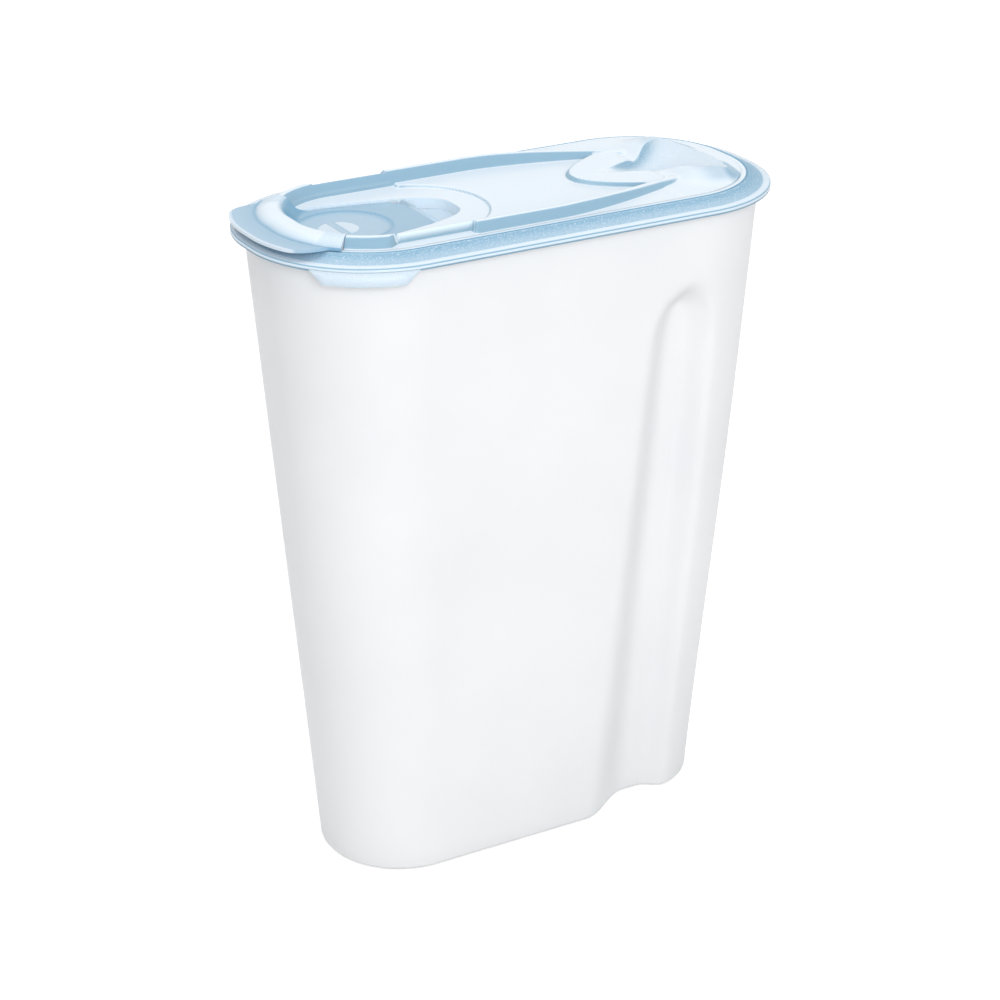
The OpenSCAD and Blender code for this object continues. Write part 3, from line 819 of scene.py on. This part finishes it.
def trim(points, cells, keep):
    """Cut the net along the line where keep(x, y) is zero and leave what lies above it."""
    points = list(points)
    signs = [keep(x, y) for x, y in points]
    cuts = {}

    def cut(a, b):
        key = (min(a, b), max(a, b))
        if key not in cuts:
            t = signs[a] / (signs[a] - signs[b])
            cuts[key] = len(points)
            points.append((mix(points[a][0], points[b][0], t), mix(points[a][1], points[b][1], t)))
        return cuts[key]

    kept = []
    for cell in cells:
        inside = [signs[i] > 0 for i in cell]
        if all(inside):
            kept.append(cell)
        elif any(inside):
            shape = []
            for i, index in enumerate(cell):
                after = cell[(i + 1) % len(cell)]
                if signs[index] > 0:
                    shape.append(index)
                if (signs[index] > 0) != (signs[after] > 0):
                    shape.append(cut(index, after))
            if len(shape) > 2:
                kept.append(tuple(shape))
    return points, kept


def moulded_sheet(name, points, cells, height, under):
    """Closed skin over a net: its top at height(x, y), its underside at under(x, y, top)."""
    used = sorted({i for cell in cells for i in cell})
    number = {old: new for new, old in enumerate(used)}
    mesh = bpy.data.meshes.new(name)
    mesh.from_pydata(
        [(points[i][0], points[i][1], height(*points[i])) for i in used], [],
        [tuple(number[i] for i in cell) for cell in cells],
    )
    work = bmesh.new()
    work.from_mesh(mesh)
    bmesh.ops.remove_doubles(work, verts=work.verts, dist=0.02)
    bmesh.ops.dissolve_degenerate(work, edges=work.edges, dist=0.01)
    for face in work.faces:
        face.normal_update()
        if face.normal.z < 0:
            face.normal_flip()
    top = list(work.faces)
    edges = [edge for edge in work.edges if edge.is_boundary]
    copy = bmesh.ops.duplicate(work, geom=list(work.verts) + list(work.edges) + top)
    twin = copy["vert_map"]
    for vert in [v for v in copy["geom"] if isinstance(v, bmesh.types.BMVert)]:
        vert.co.z = under(*vert.co)
    for face in [f for f in copy["geom"] if isinstance(f, bmesh.types.BMFace)]:
        face.normal_flip()
    for edge in edges:
        loop = edge.link_loops[0]
        a, b = loop.vert, loop.link_loop_next.vert
        c, d = work.verts.new(a.co), work.verts.new(b.co)
        work.faces.new((d, c, twin[a], twin[b]))
    work.to_mesh(mesh)
    work.free()
    finish_mesh(mesh, FINE_WELD, CREASE)
    return mesh


def lid_under(x, y, top):
    """The skin's underside, down to the floor as a wall round the well."""
    near = flap_room(x, y, 0.0, LEDGE_SEAM - 0.5) > -1.2 and inset_of(x, y) > RIDGE_FOOT
    if near and abs(x - HINGE_X) > 1.9:
        return WELL_FLOOR_Z - 0.3
    return top - (1.1 if near else SHEET_T)


def scoop_mask(x, y):
    """1 inside the scoop, fading at its edge, its tip and its end."""
    inside = ease((dome_height(x, y) + 0.3 - scoop_height(x, y)) / 0.4)
    return inside * ease((x - SCOOP_TIP_X) / 10) * ease((SCOOP_END_X + 1 - x) / 3)


def lid_painted_shade(x, y):
    """Painted shade: deeper blue on the finger domes, deepest on the slope at their end, a little deeper in
    the scoop between them.
    """
    if x < SCOOP_TIP_X:
        return 0.0
    dome = 0.42 * ease((dome_height(x, y) - LEDGE_Z - 0.2) / 2) * ease((x - 70) / 12)
    past = x + y * y / DOME_BEND
    end = ease((past - SCOOP_END_X + 10) / 4) * ease((SCOOP_END_X - past) / 1.5)
    dome = mix(dome, 0.85, end * ease((38 - abs(y)) / 8) * ease((abs(y) - 8) / 6))
    return mix(dome, 0.2, scoop_mask(x, y))


band = [LEDGE_SEAM] + [12.5 + 0.5 * i for i in range(28)]
net_points, net_cells = oval_net(band, 44, RIM_STEPS, 166, 8)
top_points, top_cells = trim(net_points, net_cells, lambda x, y: -flap_room(x, y, 0.0, LEDGE_SEAM - 0.5))
top_mesh = moulded_sheet("lid_top", top_points, top_cells, lid_height, lid_under)
paint_plan(top_mesh, lid_painted_shade, scoop_mask)
place("lid_top", top_mesh, lid_blue, "lid", "lid_plastic", "lid")

# Well of the lid.
# The sunken floor round the pouring hole that the flap closes, turned up under the rim.

SPOUT_X = -77.5
SPOUT_R = 19.8


def well_keep(x, y):
    return min(flap_room(x, y, 0.8, LEDGE_SEAM + 0.2), math.hypot(x - SPOUT_X, y) - SPOUT_R)


def well_height(x, y):
    return mix(274.9, WELL_FLOOR_Z, ease((inset_of(x, y) - LEDGE_SEAM - 0.4) / 0.5))


well_points, well_cells = trim(net_points, net_cells, well_keep)
well_mesh = moulded_sheet("lid_well", well_points, well_cells, well_height, lambda x, y, top: top - 1.4)
# Painted shade: the well evenly deeper blue.
paint_plan(well_mesh, lambda x, y: 0.3, lambda x, y: 0.0)
place("lid_well", well_mesh, lid_blue, "lid", "lid_plastic", "lid")

# Hinge bosses of the lid.
# Two short sleeves in the well's side walls that hold the flap's pins.

PIN_R = 1.0
BARREL_R = 1.7
BARREL_HALF = 15.2
PIN_L = 3.2
BOSS_R = 2.15
BOSS_FROM = 15.5
BOSS_TO = 20.4
TURN_STEPS = 64


def turned(name, outline, centre, axis, closed):
    """Outline of radius and height turned round a line through the centre along Y or Z."""
    count = len(outline)
    points = []
    for i in range(TURN_STEPS):
        turn = 2 * math.pi * i / TURN_STEPS
        for radius, height in outline:
            a, b = radius * math.cos(turn), radius * math.sin(turn)
            offset = (a, height, b) if axis == "Y" else (a, b, height)
            points.append(tuple(c + o for c, o in zip(centre, offset)))
    faces = []
    for i in range(TURN_STEPS):
        k = (i + 1) % TURN_STEPS
        for j in range(count if closed else count - 1):
            after = (j + 1) % count
            faces.append((i * count + j, k * count + j, k * count + after, i * count + after))
    mesh = bpy.data.meshes.new(name)
    mesh.from_pydata(points, [], faces)
    finish_mesh(mesh, FINE_WELD, CREASE)
    return mesh


boss_outline = [
    (PIN_R + 0.1, BOSS_FROM), (BOSS_R - 0.3, BOSS_FROM), (BOSS_R, BOSS_FROM + 0.3),
    (BOSS_R, BOSS_TO), (PIN_R + 0.1, BOSS_TO),
]
for side, label in ((1, "back"), (-1, "front")):
    outline = [(radius, side * height) for radius, height in boss_outline]
    boss_mesh = turned("hinge_boss_" + label, outline, (HINGE_X, 0, HINGE_Z), "Y", True)
    # Painted shade: the bosses evenly deeper blue.
    paint_plan(boss_mesh, lambda x, y: 0.3, lambda x, y: 0.0)
    place("hinge_boss_" + label, boss_mesh, flap_blue, "lid", "lid_plastic", "lid")

# Pull tab of the lid.
# A short frosted skirt under the flange at one front corner, with slanted ends.

TAB_FROM = 36
TAB_TO = 85
TAB_H = 5.0
TAB_SLANT = 5.5
TAB_STEPS = 60

tab_rings = []
for i in range(TAB_STEPS + 1):
    turn = math.radians(180 + mix(TAB_FROM, TAB_TO, i / TAB_STEPS))
    edge = min(i, TAB_STEPS - i) / TAB_STEPS * math.radians(TAB_TO - TAB_FROM) * CORNER_R
    low = FLANGE_Z - TAB_H * min(1.0, edge / TAB_SLANT) - 0.05
    flare = 0.6 * (FLANGE_Z - low) / TAB_H
    ring = []
    for radius, z in (
        (CORNER_R - 1.4, FLANGE_Z + 0.5), (CORNER_R + 0.05, FLANGE_Z + 0.5),
        (CORNER_R + flare, low + 0.2), (CORNER_R + flare - 0.2, low),
        (CORNER_R + flare - 1.2, low), (CORNER_R + flare - 1.4, low + 0.2),
    ):
        ring.append((-CORNER_X + radius * math.cos(turn), -CORNER_Y + radius * math.sin(turn), z))
    tab_rings.append(ring)
tab_points = [p for ring in tab_rings for p in ring]
tab_count = len(ring)
tab_faces = cells_between(len(tab_rings), tab_count)
tab_last = TAB_STEPS * tab_count
tab_faces += [tuple(range(tab_count)), tuple(range(tab_last + tab_count - 1, tab_last - 1, -1))]
tab_mesh = bpy.data.meshes.new("lid_tab")
tab_mesh.from_pydata(tab_points, [], tab_faces)
finish_mesh(tab_mesh)
# Painted shade: the tab evenly a little deeper blue.
paint_plan(tab_mesh, lambda x, y: 0.18, lambda x, y: 0.8)
place("lid_tab", tab_mesh, flap_blue, "lid", "lid_plastic", "lid")

# Flap.
# The hinged pouring flap: a flat tongue with a shallow dish, a dome round the spout and a thin
# thumb lip over the rim, one moulded skin cut to its outline.

TONGUE_Z = HINGE_Z + 1.1
LIP_Z = 277.5
DOME_FOOT = 9.6
DISH_X = -72.0
DISH_R = 18.5
DISH_DEPTH = 0.8
MARK_X = -74.6
MARK_R = 7.8
MARK_H = 0.35
NOTCH_L = 4.6
NOTCH_Y = 14.4

dome_section = curve_through([
    (8.8, LIP_Z), (9.4, LIP_Z - 0.35), (9.9, LIP_Z - 0.35), (10.5, 277.6), (11.5, 278.2),
    (12.8, 278.95), (14.2, 279.6), (15.8, 280.0), (17.2, 280.15), (18.4, 280.1), (19.4, 279.7),
    (20.6, 278.8), (22.0, 277.3), (23.4, 275.8), (24.8, 274.6), (26.0, 273.85), (27.2, TONGUE_Z),
])
lip_edge = curve_through([(24, -0.25), (27, 0.2), (30, 1.3), (33, 3.0), (36, 5.2), (39, 7.6), (42, 9.8)])
# Painted shade and light across the flap by inset: the lip mid blue, darkest in the groove by the dome, no
# shade on the dome's outer slope, deepest on its inner wall, the tongue deep blue.
flap_shade_across = curve_through([
    (0.3, 0.15), (1.0, 0.65), (8.4, 0.74), (9.2, 0.9), (9.9, 0.9), (10.6, 0.45), (12.0, 0.15),
    (14.0, 0.0), (18.2, 0.0), (19.2, 0.3), (20.4, 0.9), (21.6, 1.0), (25.6, 1.0), (27.0, 0.85),
    (28.2, 0.74),
])


def flap_height(x, y):
    inset = inset_of(x, y)
    z = dome_section(inset)
    if inset > 24:
        z -= DISH_DEPTH * ease((DISH_R - math.hypot(x - DISH_X, y)) / 4 + 0.2)
        bar = ease((1.6 - abs(x - MARK_X)) / 0.7 + 0.5)
        z += MARK_H * ease((MARK_R - math.hypot(x - MARK_X, y)) / 0.9 + 0.5) * (1 - bar)
    return z


def flap_keep(x, y):
    inset = inset_of(x, y)
    body = min(flap_room(x, y, -FLAP_GAP, DOME_FOOT - 0.4), HINGE_X + 0.3 - x)
    body = min(body, max(NOTCH_Y - abs(y), HINGE_X - NOTCH_L - x))
    if x >= -CORNER_X:
        return body
    end = before_end(x, y) - FLAP_GAP
    return max(body, min(inset - lip_edge(turn_of(x, y)), end, 12 - inset))


def flap_under(x, y, top):
    """The skin's underside, with the dome's two ends closed and the lip clear of the rim."""
    inset = inset_of(x, y)
    if inset < LEDGE_SEAM + 0.3:
        return max(top - SHEET_T, LEDGE_Z + 0.25)
    if x < -CORNER_X and inset < 24 and before_end(x, y) < 1.8:
        return TONGUE_Z - SHEET_T
    return top - SHEET_T


def flap_frost(x, y):
    if x >= -CORNER_X or not DOME_FOOT + 0.6 < inset_of(x, y) < 20:
        return 0.0
    return ease((turn_of(x, y) - 30) / 5)


# Painted shade and painted light over the flap, by place.
def flap_painted_shade(x, y):
    # Painted reflection on the raised oval: lighter, with a darker bar across it.
    if math.hypot(x - MARK_X, y) < MARK_R + 0.2:
        return 0.6 if abs(x - MARK_X) < 1.7 else 0.2
    dish = math.hypot(x - DISH_X, y) - DISH_R
    # On the tongue, painted shade: darker along the dish's edge, lighter inside it.
    if inset_of(x, y) > 27:
        return 0.76 + 0.2 * ease(1 - abs(dish) / 1.2) - 0.14 * ease(-dish / 3)
    # Where the dome's end is frosted, the painted shade is pulled towards an even middle depth.
    if flap_frost(x, y) > 0:
        return mix(flap_shade_across(inset_of(x, y)), 0.35, flap_frost(x, y) * 0.6)
    return flap_shade_across(inset_of(x, y))


flap_band = [-0.3, 0.1, 0.5, 1.2] + [2.0 + 0.55 * i for i in range(41)]
flap_points, flap_cells = oval_net(flap_band, 44, 80, 150, 12)
flap_cells = [cell for cell in flap_cells if flap_points[cell[0]][0] < HINGE_X + 4]
flap_points, flap_cells = trim(flap_points, flap_cells, flap_keep)
flap_mesh = moulded_sheet("flap_top", flap_points, flap_cells, flap_height, flap_under)
paint_plan(flap_mesh, flap_painted_shade, flap_frost)
place("flap_top", flap_mesh, flap_blue, "flap", "lid_plastic", "flap")

# Plug and hinge barrel of the flap.
# A round collar under the tongue that fills the pouring hole, and the barrel with its two pins.

PLUG_R = SPOUT_R - 0.5
PLUG_WALL = 1.4
PLUG_LOW_Z = TONGUE_Z - 1.3 - 4.0
PLUG_TOP_Z = TONGUE_Z - 1.6

plug_outline = [
    (PLUG_R, PLUG_TOP_Z), (PLUG_R, PLUG_LOW_Z + 0.6), (PLUG_R - 0.4, PLUG_LOW_Z),
    (PLUG_R - PLUG_WALL + 0.2, PLUG_LOW_Z), (PLUG_R - PLUG_WALL, PLUG_LOW_Z + 0.2),
    (PLUG_R - PLUG_WALL, PLUG_TOP_Z),
]
plug_mesh = turned("flap_plug", plug_outline, (SPOUT_X, 0, 0), "Z", True)
# Painted shade: the plug evenly deeper blue.
paint_plan(plug_mesh, lambda x, y: 0.3, lambda x, y: 0.0)
place("flap_plug", plug_mesh, flap_blue, "flap", "lid_plastic", "flap")

PIN_END = BARREL_HALF + PIN_L
half_outline = [
    (BARREL_R, 0.0), (BARREL_R, BARREL_HALF - 0.25), (BARREL_R - 0.25, BARREL_HALF),
    (PIN_R, BARREL_HALF), (PIN_R, PIN_END - 0.25), (PIN_R - 0.25, PIN_END), (0.0, PIN_END),
]
barrel_outline = [(radius, -height) for radius, height in reversed(half_outline)] + half_outline[1:]
barrel_mesh = turned("flap_barrel", barrel_outline, (HINGE_X, 0, HINGE_Z), "Y", False)
# Painted shade: the barrel evenly deeper blue, as a dark hinge line.
paint_plan(barrel_mesh, lambda x, y: 0.5, lambda x, y: 0.0)
place("flap_barrel", barrel_mesh, flap_blue, "flap", "lid_plastic", "flap")
